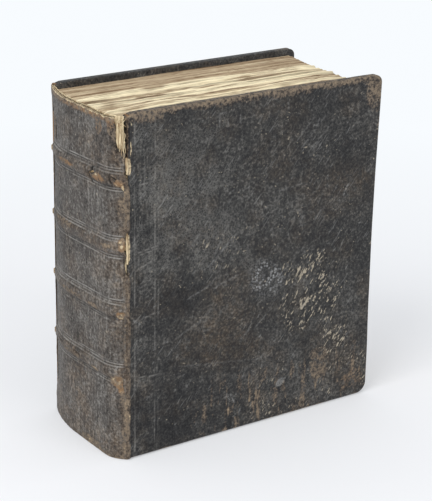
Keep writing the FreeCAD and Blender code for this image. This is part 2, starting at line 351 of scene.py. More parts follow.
class Leather(Finish):
    """Old leather: mottled and crazed, with its scuffs, ruled lines, worn edges and losses, and with painted shade
    and painted highlight in its colour.
    """

    def __init__(self, name, tones, stripes):
        super().__init__(name)
        self.patchy = self.noise(8.0, 4.0, 0.6)
        self.grain = self.noise(1.5, 3.0, 0.62)
        self.threads = self.noise((1.5, 1.5, 11.0), 3.0, 0.65)
        self.haze = self.mask("haze")
        self.mottle(tones, stripes)
        self.turn_brown()
        self.craze()
        self.scuff()
        self.wear_down()
        self.shape()

    def paint(self, over, share, *others):
        """Lays a colour over the leather by a share, or by several multiplied."""
        for other in others:
            share = self.times(share, other)
        self.colour = self.blend(share, self.colour, over)

    def mottle(self, tones, stripes):
        """The colour of the leather: light and dark patches, grain and upright threads, and painted shade under
        the spine's bands and ruled lines, beside the dent, at the torn head of the front joint and in the joint
        groove.
        """
        stripe = self.total(stripes, (self.mask("stripe"), 1.4))
        tone = self.total(-1.30, (self.noise(40.0, 4.0), 0.8), (self.patchy, 0.9), (self.grain, 2.0))
        # darker leather patches, and painted shade under the spine's bands and ruled lines, beside the dent and at
        # the torn head of the front joint, darken the tone; less haze in the joint groove darkens it as painted
        # shade
        tone = self.total(tone, (self.haze, 0.055), (self.mask("dark_and_shade"), -0.5))
        tone = self.total(tone, (self.total(-0.5, (self.threads, 1.0)), stripe))
        self.colour = self.ramp(tone, *zip((0.10, 0.40, 0.66, 1.0), tones))

    def turn_brown(self):
        """Patches where the dye has turned brown."""
        patches = self.between(self.noise(17.0, 4.0), 0.44, 0.66)
        warm = self.total(0.0, (patches, 0.45), (self.mask("brown"), 0.75))
        browned = self.blend(1.0, self.colour, BROWN_CAST, "MULTIPLY")
        uneven = self.between(self.noise(3.6, 3.0), 0.25, 0.60)
        self.paint(self.blend(0.12, browned, BROWN), warm, uneven)

    def craze(self):
        """A net of fine cracks, and a pebbled patch."""
        self.net = self.between(self.cells(1.45, "DISTANCE_TO_EDGE"), 0.16, 0.02)
        open_net = self.total(0.0, (self.noise(9.0, 3.0), 1.0), (self.haze, 0.17))
        self.paint(NET_GREY, self.net, self.between(open_net, 0.50, 0.74), 0.46)
        pebbles = self.times(self.between(self.cells(1.5), 0.62, 0.20), self.mask("pebble"))
        self.pebbles = self.times(pebbles, self.between(self.patchy, 0.34, 0.62))
        self.paint(PEBBLE_GREY, self.pebbles)

    def scuff(self):
        """Specks, hairlines, flecks of bare skin, and the ruled lines, whose pale colour on the covers is painted
        highlight.
        """
        specks = self.between(self.noise(1.7, 1.0), 0.69, 0.75)
        self.paint(BONE, specks, self.between(self.noise(13.0, 2.0), 0.46, 0.60), 0.6)
        hairs = self.between(self.noise((0.9, 0.9, 9.0), 2.0, 0.5, 38.0), 0.60, 0.72)
        self.paint(SILVER, hairs, self.between(self.noise(19.0, 2.0), 0.42, 0.60), 0.45)
        place = self.mask("fleck")
        flecks = self.total(0.0, (self.noise((1.3, 1.3, 3.6), 2.0, 0.6, 32.0), 1.0), (place, 0.14))
        self.flecks = self.times(self.between(flecks, 0.66, 0.71), self.between(place, 0.05, 0.3))
        self.paint(BONE, self.flecks, 0.9)
        self.paint(LINE_PALE_AND_HIGHLIGHT, self.mask("line"), self.between(self.noise(3.4, 3.0), 0.26, 0.52))

    def wear_down(self):
        """Bare brown and tan edges, torn cream ones, scratches, and cracks painted near black as painted shade."""
        rubbed = self.mask("wear")
        rub = self.total(-1.25, (rubbed, 1.0), (self.noise(2.4, 4.0, 0.7), 1.1), (self.grain, 1.4))
        self.worn = self.times(self.between(rub, 0.10, 0.60), self.between(rubbed, 0.03, 0.2))
        bare = self.ramp(rub, (0.22, BROWN), (0.50, DULL_TAN), (0.86, TAN), (1.0, CREAM))
        rust = self.times(self.mask("orange"), self.between(self.noise(4.0, 4.0), 0.38, 0.60))
        self.paint(self.blend(self.times(rust, 0.75), bare, ORANGE), self.worn, 0.92)
        torn = self.total(-0.5, (self.mask("cream"), 1.0), (self.grain, 0.8))
        fibres = self.blend(self.between(self.grain, 0.35, 0.65), TAN, CREAM)
        self.paint(fibres, self.between(torn, 0.20, 0.45))
        self.paint(SILVER, self.mask("mark"), self.between(self.grain, 0.30, 0.56))
        # cracks and the worm hole painted near black: painted shade in them
        self.paint(CRACK_SHADE_BLACK, self.mask("shaded_crack"))

    def shape(self):
        """The relief and the gloss."""
        relief = self.bump(self.grain, 0.34)
        relief = self.bump(self.threads, 0.30, relief)
        relief = self.bump(self.total(0.0, (self.net, -1.0), (self.pebbles, 2.0)), 0.10, relief)
        relief = self.bump(self.total(0.0, (self.worn, -1.0), (self.flecks, -0.5)), 0.25, relief)
        shine = self.total(0.42, (self.patchy, 0.35), (self.worn, 0.15))
        self.close(self.colour, shine, relief, 0.27)


PAGE_CREAM = (0.930, 0.830, 0.590)
PAGE_TAN = (0.500, 0.395, 0.265)
PAGE_UMBER = (0.330, 0.245, 0.155)
PAGE_BROWN = (0.170, 0.105, 0.055)


def old_paper(name):
    """The edges of rag leaves: thin strata, cream where torn and brown where handled, with painted shade in the
    gaps between clumps and on the sunk dark strips.
    """
    f = Finish(name)
    leaves = f.noise((60.0, 0.8, 60.0), 3.0, 0.65)
    sheets = f.noise((120.0, 2.2, 120.0), 2.0)
    fibres = f.noise((6.0, 0.9, 6.0), 3.0, 0.6)
    stains = f.noise(24.0, 4.0, 0.6)
    bright = f.total(-0.93, (f.mask("bright"), 0.97), (sheets, 0.5), (leaves, 1.6))
    bright = f.total(bright, (f.total(-0.5, (fibres, 1.0)), 0.6))
    colour = f.ramp(bright, (0.0, PAGE_BROWN), (0.14, PAGE_UMBER), (0.42, PAGE_TAN), (0.92, PAGE_CREAM))
    # brown from real stains, and painted shade on the sunk dark strips
    dirt_and_shade = f.total(0.0, (f.between(stains, 0.50, 0.72), 0.35), (f.mask("stain_and_shade"), 1.0))
    colour = f.blend(f.times(dirt_and_shade, 1.0), colour, PAGE_BROWN)
    # near black in the gaps between clumps of leaves: painted shade
    colour = f.blend(f.mask("gap"), colour, (0.030, 0.018, 0.010))
    foxing = f.between(f.noise(3.4, 3.0, 0.6), 0.60, 0.76)
    leaf = f.blend(f.times(foxing, 0.5), (0.58, 0.47, 0.30), (0.30, 0.19, 0.10))
    leaf = f.blend(f.times(f.between(stains, 0.45, 0.70), 0.35), leaf, (0.36, 0.26, 0.15))
    colour = f.blend(f.mask("leaf"), colour, leaf)
    relief = f.bump(leaves, 0.30)
    relief = f.bump(fibres, 0.22, relief)
    return f.close(colour, 0.85, relief, 0.2)


def flat_paper(name, cream, brown):
    """A pasted-down endpaper, foxed and browned round its edges."""
    f = Finish(name)
    clouds = f.between(f.noise(60.0, 5.0, 0.6), 0.35, 0.75)
    foxing = f.between(f.noise(3.2, 3.0, 0.6), 0.64, 0.76)
    colour = f.blend(f.times(clouds, 0.45), cream, (0.50, 0.38, 0.22))
    colour = f.blend(f.times(foxing, 0.5), colour, brown)
    relief = f.bump(f.noise((1.1, 1.1, 33.0), 1.0), 0.08)
    relief = f.bump(f.noise(0.7, 2.0), 0.06, relief)
    return f.close(colour, 0.88, relief, 0.2)


def fibrous(name, light, dark_and_shade, sizes, depth):
    """Hemp, parchment or wood: fibres running one way."""
    f = Finish(name)
    strands = f.noise(sizes, 4.0, 0.65)
    clouds = f.noise(8.0, 4.0)
    colour = f.blend(f.between(strands, 0.30, 0.68), dark_and_shade, light)
    colour = f.blend(f.times(f.between(clouds, 0.5, 0.75), 0.5), colour, dark_and_shade)
    return f.close(colour, 0.8, f.bump(strands, depth), 0.25)


cover_leather = Leather("cover_leather", COVER_TONES, 0.25).owner
# the spine and the joints: the covers' leather with lighter tones, painted light
lit_spine_leather = Leather("lit_spine_leather", SPINE_LIT_TONES, 1.1).owner
page_edges = old_paper("page_edges")
endpaper = flat_paper("endpaper", (0.66, 0.56, 0.38), (0.30, 0.19, 0.09))
parchment = fibrous("parchment", (0.76, 0.65, 0.43), (0.26, 0.17, 0.09), (1.1, 1.1, 12.0), 0.3)
hemp = fibrous("hemp", (0.43, 0.32, 0.18), (0.17, 0.11, 0.05), (0.7, 11.0, 0.7), 0.4)
board_wood = fibrous("board_wood", (0.27, 0.16, 0.08), (0.11, 0.06, 0.03), (1.4, 1.4, 40.0), 0.2)


# The covers.
EDGE_STEPS = (0.0, 0.07, 0.28, 0.62, 1.05, 1.55, 2.1)  # grid lines across a rounded outer edge
JOINT_STEPS = (0.0, 0.1, 0.35, 0.65, 1.0, 1.3, 1.6, 1.9, 2.2, 2.6)
COVER_EDGE_R = 1.6
FRONT_JOINT_R = 1.0
BACK_JOINT_R = 2.5
HEAD_CORNER_R = 4.5
TAIL_CORNER_R = 7.0
TURN_IN_W = 15.0
WALL_DEPTHS = (2.3, 3.0, 3.7, 4.4, 4.9)
TURN_IN_STEPS = (0.35, 1.2, 3.0, 5.0, 9.0, 15.0)
WINDOW_DEPTH = 3.0  # the leather ends inside the board


class Cover:
    """Where the points of one covered board lie."""

    def __init__(self, side, x_fore, step):
        self.side, self.x_fore = side, x_fore
        self.y_face = FACE_Y[side]
        self.flare = FLARE if side == FRONT else 0.0
        self.x_joint = HINGE_X + JOINT_GAP / 2 - GLUE_T
        first = self.x_joint + np.array(JOINT_STEPS)
        last = x_fore - np.array(EDGE_STEPS)[::-1]
        count = int((last[0] - first[-1]) / step)
        middle = np.linspace(first[-1], last[0], count + 1)[1:-1]
        self.xs = np.concatenate([first, middle, last])
        low = np.array(EDGE_STEPS)
        count = int((BOARD_H - 2 * low[-1]) / step)
        middle = np.linspace(low[-1], BOARD_H - low[-1], count + 1)[1:-1]
        self.zs = np.concatenate([low, middle, BOARD_H - low[::-1]])

    def place(self, x, z, depth):
        """A point of the cover at a depth inside its outer face, following its warp."""
        u = np.clip((x - HINGE_X) / (self.x_fore - HINGE_X), 0, 1)
        v = np.clip(z / BOARD_H, 0, 1)
        y = self.y_face + self.side * (self.flare * u**3 * v**2 - depth)
        if self.side == FRONT:
            x = x + u**2 * (0.7 * smooth(62, 25, z) - 0.55 * within(z, 60, 110, 140, 190))
        z = z - 1.1 * smooth(4.5, 0.0, x - self.x_joint) * smooth(BOARD_H - 8, BOARD_H, z)
        return np.stack(np.broadcast_arrays(x, y, z), -1)

    def rounded(self, x, z):
        """Moves the square grid's corners onto the rounded corners of the cover."""
        x, z = np.array(x, float), np.array(z, float)
        for radius, up in ((TAIL_CORNER_R, -1), (HEAD_CORNER_R, 1)):
            x_hub = self.x_fore - radius
            z_hub = radius if up < 0 else BOARD_H - radius
            a, b = (x - x_hub) / radius, up * (z - z_hub) / radius
            inside = (a > 0) & (b > 0)
            a, b = a[inside], b[inside]
            turn = np.where(a >= b, b / np.maximum(a, 1e-9), 2 - a / np.maximum(b, 1e-9)) * math.pi / 4
            reach = np.maximum(a, b) * radius
            x[inside] = x_hub + reach * np.cos(turn)
            z[inside] = z_hub + up * reach * np.sin(turn)
        return x, z

    def outline(self, inset):
        """The outline moved inwards, from the joint along the tail, fore-edge and head."""
        x_end = self.x_fore - inset
        tail_r, head_r = (max(radius - inset, 0.5) for radius in (TAIL_CORNER_R, HEAD_CORNER_R))
        tail, head = (x_end, tail_r, inset, 1), (x_end, head_r, BOARD_H - inset, -1)
        z_low, z_high = TAIL_CORNER_R, BOARD_H - HEAD_CORNER_R
        points = [self.along(x, TAIL_CORNER_R, *tail) for x in self.xs]
        for z in self.zs[1:]:
            if z < z_low:
                points.append(self.bend(2 - (z_low - z) / TAIL_CORNER_R, *tail))
            elif z > z_high:
                points.append(self.bend(2 - (z - z_high) / HEAD_CORNER_R, *head))
            else:
                share = (z - z_low) / (z_high - z_low)
                low, high = inset + tail_r, BOARD_H - inset - head_r
                points.append((x_end, low + share * (high - low)))
        points += [self.along(x, HEAD_CORNER_R, *head) for x in self.xs[-2::-1]]
        return np.array(points)

    def along(self, x, corner, x_end, radius, z_edge, up):
        """One point of the tail's or the head's stretch of an outline."""
        x_turn = self.x_fore - corner
        if x > x_turn:
            return self.bend((x - x_turn) / corner, x_end, radius, z_edge, up)
        share = (x - self.x_joint) / (x_turn - self.x_joint)
        return self.x_joint + share * (x_end - radius - self.x_joint), z_edge

    def bend(self, eighths, x_end, radius, z_edge, up):
        """One point of a rounded corner, some eighths of a circle on from its tail or head."""
        turn = eighths * math.pi / 4
        return x_end - radius * (1 - math.sin(turn)), z_edge + up * radius * (1 - math.cos(turn))


def rounding(distance, radius):
    """How far a rounded edge has dropped at a distance in from its outline."""
    short = np.clip(radius - distance, 0, radius)
    return radius - np.sqrt(radius**2 - short**2)


def edge_wear(cover, x, z):
    """How bare the leather is rubbed along head, fore-edge and tail."""
    head = BOARD_H - z
    fore = cover.x_fore - x
    ragged = np.clip(ripple(x / 9, z / 9, 3, 3), -1.1, 1.1)
    rubbed, reach = (0.04, 4.0) if cover.side == BACK else (0.52, 5.0)
    corner = spot(x, z, (cover.x_fore - 3, BOARD_H - 6), (13, 22))
    return highest(
        rubbed * smooth(reach + 2.4 * ragged, 0.8, head),
        0.55 * smooth(2.4 + 1.5 * ragged, 0.2, fore) * smooth(140, 172, z),
        0.26 * smooth(2.2 + 1.5 * ragged, 0.2, fore),
        0.55 * smooth(1.7 + 1.4 * ragged, 0.1, z),
        0.52 * smooth(0.0, 0.5, corner) * (0.85 + 0.35 * ragged),
    )


# Patches of the front cover: strength, centre and half sizes in mm from joint and tail, turn in degrees.
FRONT_HAZE = (
    (1.1, (38, 150), (46, 66), 20), (0.8, (60, 112), (40, 34)), (0.5, (92, 90), (24, 22)),
    (-0.75, (32, 90), (40, 22)), (-0.7, (30, 24), (44, 34)), (-0.5, (150, 92), (30, 44)),
)
FRONT_BROWN = (
    (0.9, (146, 136), (34, 26)), (0.9, (56, 64), (42, 30)), (0.8, (70, 90), (26, 18)),
    (0.8, (152, 26), (30, 32)), (0.8, (74, 48), (40, 16)), (0.6, (104, 168), (16, 30)),
)
FRONT_FLECKS = (
    (1.0, (126, 72), (32, 30)), (0.7, (142, 44), (24, 22)), (0.7, (122, 92), (30, 14)),
    (0.35, (60, 112), (40, 26), 30),
)
# first the painted shadow below and right of the oval dent, then darker patches of the leather
FRONT_DARK_AND_DENT_SHADOW = (
    (0.9, (106.5, 20.6), (6.0, 3.4), 25), (0.40, (30, 24), (46, 36)), (0.35, (30, 90), (40, 24)),
)
TAIL_RUB = (156, 11), (17, 12)  # the bare patch at the tail corner
DENT = (104.5, 22.0), (4.8, 2.9), 28  # the oval dent near the tail
WORM_HOLE = (7.0, 104.5), (1.5, 1.5)
PEBBLED = (93, 90), (18, 15), -30
COVER_LINES = (4.2, 17.0, 19.0)  # upright ruled lines, from the joint, painted pale as painted highlight


def front_masks(x, z):
    """The wear seen on the front cover, with painted shade at the torn head of the joint and beside the dent, and
    painted highlight on the ruled lines. X is from the joint.
    """
    grain = ripple(x / 7, z / 7, 21, 3)
    haze = spots(x, z, FRONT_HAZE) + 0.5 * within(x, 0, 16, 12, 44) * smooth(96, 120, z)
    haze = haze - 0.5 * smooth(70, 110, x) * smooth(120, 170, z)
    fleck = spots(x, z, FRONT_FLECKS) + 0.25 * smooth(40, 24, z) * smooth(60, 90, x)
    streaks = smooth(0.10, 0.65, ripple(x / 2.0, z / 15, 33, 3))
    streaks = streaks * smooth(48, 22, z + 6 * grain) * smooth(30, 62, x)
    wear = highest(
        0.55 * streaks * (0.8 + 0.4 * grain),
        0.44 * smooth(0.0, 0.7, spot(x, z, (13, 198.0), (19, 7.5))),
        0.55 * smooth(0.1, 0.8, spot(x, z, *TAIL_RUB) * (1 + 0.6 * grain)),
        0.42 * smooth(0.1, 0.8, spot(x, z, (133, 28), (12, 20)) * (1 + 0.8 * grain)),
        0.36 * smooth(1.6, 0.2, x) * (1 + grain),
    )
    # the ruled lines are shallow grooves, painted pale as painted highlight along them
    ruled = []
    for place, width in zip(COVER_LINES, (0.5, 0.45, 0.45)):
        broken = 0.22 + 0.26 * ripple(place, z / 11, 34, 2)
        ruled.append(broken * smooth(width, 0, np.abs(x - place + 0.25 * grain)))
    creased = [0.42 * stroke(x, z, low, high, 0.45) for low, high in FRONT_CREASES]
    stripe = within(x, 0, 3, 8, 26) * (0.45 + 0.55 * smooth(90, 130, z) + 0.3 * smooth(40, 10, z))
    stray = ripple(z / 4.5, 0.3, 35, 3)
    dark_and_shade = highest(
        # painted shade along the cover's joint edge where the spine leather is torn back at the head
        0.9 * smooth(178.5, 182, z) * smooth(1.5 + 0.4 * stray, 0.9 + 0.4 * stray, x),
        *(strength * spot(x, z, *place) for strength, *place in FRONT_DARK_AND_DENT_SHADOW),
    )
    broken = smooth(-0.9, 0.2, ripple(z / 7, 0.7, 36, 2))
    cream = highest(
        0.8 * smooth(164.5, 170, z) * broken * smooth(0.5, 0.1, np.abs(x - 1.8 - 0.4 * stray)),
        within(z, 165.8, 167.5, 174.5, 176.5) * smooth(1.9, 1.4, x - 0.5 * stray),
        within(z, 116, 120, 131, 135) * smooth(1.1, 0.7, x - 0.35 * stray),
    )
    return {
        "haze": haze,
        "brown": np.clip(spots(x, z, FRONT_BROWN), 0, 1),
        "fleck": fleck * (0.8 + 0.5 * grain),
        "wear": wear,
        "orange": 0.5 * spot(x, z, *TAIL_RUB),
        "line": highest(*ruled, *creased),
        "stripe": stripe,
        "pebble": smooth(0.0, 0.6, spot(x, z, *PEBBLED)),
        "dark_and_shade": dark_and_shade,
        "cream": cream,
    }


# Short creases across the joint side, and single scratches with their strength.
FRONT_CREASES = (
    ((5.5, 121.8), (19.0, 123.8)), ((6.5, 120.4), (20.0, 122.2)), ((7.4, 83.0), (21.5, 85.4)),
    ((2.0, 80.8), (9.0, 86.0)), ((4.0, 111.5), (16.0, 116.0)), ((5.0, 160.0), (18.5, 161.0)),
    ((6.0, 48.5), (24.0, 47.0)),
)
FRONT_SCRATCHES = (
    ((50, 103), (73, 123), 0.55), ((53, 104), (70, 121), 0.35), ((37, 88), (57, 95), 0.45),
    ((58, 92), (75, 97), 0.40), ((39.5, 117), (47, 127), 0.50), ((55, 108), (66, 130), 0.35),
    ((113, 163), (133, 184), 0.30), ((108, 166), (124, 183), 0.26), ((118, 160), (136, 177), 0.26),
    ((146, 130), (149.5, 138), 0.85), ((66, 24.5), (69, 18), 0.85), ((68.6, 24), (72, 16.5), 0.75),
    ((65, 22), (68, 22.6), 0.6), ((2.5, 84), (8, 79.6), 0.6), ((30, 66), (48, 74), 0.30),
    ((84, 60), (97, 71), 0.30), ((98, 141.5), (118, 143.0), 0.35), ((104, 193), (104.6, 188), 0.5),
    ((58, 191), (58.5, 184), 0.5), ((64, 189), (64.2, 183), 0.4), ((72, 190), (72.3, 184), 0.4),
    ((125, 118), (131, 126), 0.4), ((26, 50), (95, 40), 0.20),
)


def front_scratches(x, z):
    """Single scratches and light marks on the front cover."""
    mark = highest(*(power * stroke(x, z, start, end, 0.75) for start, end, power in FRONT_SCRATCHES))
    random = np.random.default_rng(8)
    for _ in range(190):
        centre = random.uniform((6, 6), (164, 194))
        angle = math.radians(random.normal(50, 26))
        reach = random.uniform(0.8, 4.0)
        ends = centre + np.array([math.cos(angle), math.sin(angle)]) * reach
        near = (np.abs(x - centre[0]) < 7) & (np.abs(z - centre[1]) < 7)
        single = stroke(x[near], z[near], centre, ends, random.uniform(0.45, 0.85))
        mark[near] = np.maximum(mark[near], random.uniform(0.15, 0.65) * single)
    return mark


def back_masks(x, z):
    """The milder wear of the back cover."""
    grain = ripple(x / 9, z / 9, 77, 3)
    # the ruled lines painted pale: painted highlight along them
    ruled = [smooth(0.5, 0, np.abs(x - HINGE_X - place)) for place in COVER_LINES]
    return {
        "haze": 0.7 * smooth(-0.2, 0.9, grain + 0.6 * ripple(x / 60, z / 60, 13)),
        "brown": smooth(0.0, 0.9, ripple(x / 30, z / 30, 14, 2)),
        "fleck": 0.5 * smooth(0.35, 0.9, ripple(x / 25, z / 25, 15, 2)),
        "line": 0.5 * highest(*ruled),
    }


def add_dents(masks, relief, x, z):
    """The oval dent near the tail and the worm hole near the joint, which is painted near black as painted shade.
    Returns the relief with them.
    """
    dent = smooth(0.0, 0.4, spot(x, z, *DENT))
    hole = spot(x, z, *WORM_HOLE)
    # the worm hole is painted near black: painted shade in it
    masks["shaded_crack"] = smooth(0.15, 0.55, hole)
    masks["dark_and_shade"] = np.clip(masks["dark_and_shade"] - dent, 0, 1)
    masks["mark"] = np.maximum(masks["mark"], 0.75 * dent)
    return relief - 0.55 * dent - 0.6 * hole - 0.10 * masks["line"] - 0.10 * masks["mark"]


def cover_rings(cover, skin, face, seed):
    """Carries the leather on from its face: down the edges, over the turn-ins and into the board."""
    rim = np.concatenate([face[:, 0], face[-1, 1:], face[-2::-1, -1]])
    rings = [rim]
    worn = edge_wear(cover, *cover.outline(0.5).T)
    outer, inner = cover.outline(0.0), cover.outline(1.0)
    for depth in WALL_DEPTHS:
        inset = 0.06 + 0.10 * ripple(np.arange(rim.size) / 6, depth, seed + 2, 2)
        points = outer + (inner - outer) * np.maximum(inset, 0)[:, None]
        rings.append(skin.grid(cover.place(*points.T, depth), wear=0.8 * worn))
    for inset in TURN_IN_STEPS:
        rings.append(skin.grid(cover.place(*cover.outline(inset).T, COVER_T), wear=0.12, haze=0.3))
    rings.append(skin.grid(cover.place(*cover.outline(TURN_IN_W).T, WINDOW_DEPTH)))
    skin.quads(np.stack(rings))
    skin.cap(rings[-1])
    tail_end, head_end = ([ring[k] for ring in rings[1:]] for k in (0, -1))
    skin.cap(list(face[0, ::-1]) + tail_end + head_end[::-1])


def make_cover(side, x_fore, step, name):
    """One board's leather: outer face, rounded edges, turn-ins, and the opening for the pastedown."""
    cover = Cover(side, x_fore, step)
    x_flat, z_flat = np.meshgrid(cover.xs, cover.zs, indexing="ij")
    inward = np.minimum(np.minimum(x_fore - x_flat, z_flat), BOARD_H - z_flat)
    joint_r = FRONT_JOINT_R if side == FRONT else BACK_JOINT_R
    drop = np.maximum(rounding(inward, COVER_EDGE_R), rounding(x_flat - cover.x_joint, joint_r))
    x, z = cover.rounded(x_flat, z_flat)
    seed = 50 if side == FRONT else 90
    relief = 0.20 * ripple(x / 34, z / 34, seed, 2) + 0.06 * ripple(x / 5, z / 5, seed + 5, 2)
    relief = relief * smooth(0.0, 6.0, inward) - 0.15
    wear = edge_wear(cover, x, z)
    bite = 0.35 * smooth(0.3, 0.9, wear) * (0.6 + 0.5 * ripple(x / 2.2, z / 2.2, seed + 9, 2))
    if side == FRONT:
        along = x - HINGE_X
        masks = front_masks(along, z)
        masks["wear"] = np.maximum(masks["wear"], wear)
        masks["mark"] = front_scratches(along, z)
        relief = add_dents(masks, relief, along, z)
    else:
        masks = {"wear": wear, **back_masks(x, z)}
    skin = Skin()
    face = skin.grid(cover.place(x, z, drop + bite - np.minimum(relief, 0.1)), **masks)
    skin.quads(face)
    cover_rings(cover, skin, face, seed)
    return skin.build(name, cover_leather)


# The spine.
def spine_round(side):
    """The hub and radius of one side's round."""
    reach = FRONT_ROUND_W if side == FRONT else BACK_ROUND_W
    radius = (SPINE_BULGE**2 + reach**2) / (2 * SPINE_BULGE)
    return HINGE_X - SPINE_BULGE + radius, FACE_Y[side] - side * reach, radius


FRONT_HUB_X, FRONT_HUB_Y, FRONT_R = spine_round(FRONT)
BACK_HUB_X, BACK_HUB_Y, BACK_R = spine_round(BACK)
FRONT_TURN = math.acos((FRONT_HUB_X - HINGE_X) / FRONT_R)
BACK_TURN = math.acos((BACK_HUB_X - HINGE_X) / BACK_R)
FRONT_ARC = FRONT_TURN * FRONT_R
FLAT_W = BACK_HUB_Y - FRONT_HUB_Y
SPINE_ARC = FRONT_ARC + FLAT_W + BACK_TURN * BACK_R


def spine_place(along, z, lift):
    """A point a way round the spine from the front joint, lifted off the leather's outline."""
    along, z, lift = np.broadcast_arrays(np.asarray(along, float), z, lift)
    turn_f = FRONT_TURN - along / FRONT_R
    turn_b = (along - FRONT_ARC - FLAT_W) / BACK_R
    in_front, in_back = along < FRONT_ARC, along > FRONT_ARC + FLAT_W
    front_r, back_r = FRONT_R + lift, BACK_R + lift
    x = np.where(in_front, FRONT_HUB_X - front_r * np.cos(turn_f), HINGE_X - SPINE_BULGE - lift)
    y = np.where(in_front, FRONT_HUB_Y - front_r * np.sin(turn_f), FRONT_HUB_Y + along - FRONT_ARC)
    x = np.where(in_back, BACK_HUB_X - back_r * np.cos(turn_b), x)
    y = np.where(in_back, BACK_HUB_Y + back_r * np.sin(turn_b), y)
    return np.stack([x, y, z], -1)


def band_middle(height, along):
    """The height of a band's middle: it runs lower towards the back joint."""
    y = spine_place(along, 0.0, 0.0)[..., 1]
    return height - (y - MID_Y) * BAND_DROP / (BACK_Y - FRONT_Y)


LINES_ABOVE = (3.5, 4.9, 6.3)  # ruled lines, from the middle of a band
LINES_BELOW = (-4.9, -6.3)
LINE_W = 0.50
ROW_NEAR, ROW_FAR = 0.36, 0.95  # heights of the rows within reach of a band, and elsewhere
ROW_REACH = 8.5
SPINE_COLUMNS = 144


def spine_rows():
    """Heights of the spine's rows: close together round the bands, where the ruled lines are."""
    rows = [0.0, 0.15, 0.5]
    while rows[-1] < SPINE_TOP - 0.6:
        near = min(abs(rows[-1] - height) for height in BAND_HEIGHTS)
        rows.append(rows[-1] + (ROW_NEAR if near < ROW_REACH else ROW_FAR))
    return np.array(rows + [SPINE_TOP - 0.15, SPINE_TOP])


def spine_front_edge(z):
    """Where the spine leather begins at the front joint: torn back at the head and cracked lower down."""
    ragged = ripple(z / 3.1, 0.5, 41, 3)
    edge = 0.2 + 5.0 * smooth(178, 182.0, z) + 1.4 * smooth(162, 167, z) + 0.9 * smooth(188, 197, z)
    edge = edge + 1.5 * within(z, 106, 114, 128, 136)
    torn = smooth(158, 166, z) + within(z, 104, 110, 132, 138)
    return edge + 0.75 * ragged * np.clip(torn, 0, 1)


def spine_back_edge(z):
    """Where the spine leather ends at the back joint, with its short slit."""
    slit = within(z, 165, 169, 179, 183)
    return SPINE_ARC - 0.4 - slit * (1.6 + 0.5 * ripple(z / 2.5, 0.3, 44, 2))


# Wear on the spine: place round it from the front joint and height, half sizes, and strength.
SPINE_WEAR = (
    ((20.0, 191.0), (5, 9), 0.36), ((9.0, 190.0), (6, 9), 0.40), ((6.5, 181.0), (3.0, 14), 0.30),
    ((56.0, 162.6), (15, 2.4), 0.50), ((20.0, 162.8), (10, 4.0), 0.70),
    ((4.6, 161.8), (5.0, 3.6), 0.74), ((4.0, 148.0), (3.6, 12), 0.45),
    ((12.8, 126.0), (7.0, 2.8), 0.60), ((58.0, 127.0), (18, 2.4), 0.48),
    ((3.4, 127.5), (3.2, 6), 0.70), ((26.0, 87.2), (8.0, 2.6), 0.60),
    ((4.0, 87.0), (4.4, 3.8), 0.80), ((50.0, 87.5), (20, 2.2), 0.42),
    ((25.0, 49.6), (6.5, 2.4), 0.72), ((6.0, 47.5), (9.0, 6.0), 0.72),
    ((3.4, 42.5), (3.6, 5), 0.70), ((50.0, 50.5), (18, 2.0), 0.42), ((30.0, 3.0), (16, 3.4), 0.55),
    ((75.5, 177.0), (5.0, 10.0), 0.45),
)
SPINE_BROWN = (0.8, (22, 174), (26, 20)), (0.6, (48, 34), (26, 34))
SPINE_RUST = (
    ((30.0, 194.5), (46, 6)), ((20.0, 189.0), (8, 5)), ((54.0, 162.6), (14, 2.6)),
    ((20.0, 163.0), (10, 4)), ((4.6, 162.0), (5, 4)), ((4.0, 87.0), (4, 4)), ((5.0, 45.5), (6, 8)),
    ((3.4, 127.5), (3, 6)),
)
SPINE_CREAM = (
    ((21.5, 164.0), (1.5, 1.2)), ((2.6, 160.3), (1.1, 1.9)), ((3.4, 126.6), (1.3, 2.0)),
    ((3.6, 87.6), (0.8, 1.1)), ((12.8, 18.0), (0.7, 0.7)), ((26.0, 50.2), (1.2, 0.8)),
)
# Cracks in the spine leather, cut in and painted black as painted shade: start and end round the spine and in
# height, and width.
SPINE_CRACKS = (
    ((26.2, 167.6), (24.8, 163.4), 1.6), ((28.8, 164.2), (28.0, 157.0), 1.4),
    ((28.0, 163.4), (23.0, 165.2), 1.2), ((70.2, 52.4), (60.0, 52.0), 0.5),
    ((48.0, 52.8), (40.0, 51.6), 0.5), ((9.0, 165.8), (6.0, 164.0), 0.6),
    ((10.4, 164.6), (8.4, 161.4), 0.5), ((6.2, 186.0), (5.6, 178.0), 0.5),
    ((73.4, 183.0), (72.8, 175.0), 1.5), ((73.0, 179.0), (72.2, 169.5), 2.3),
)


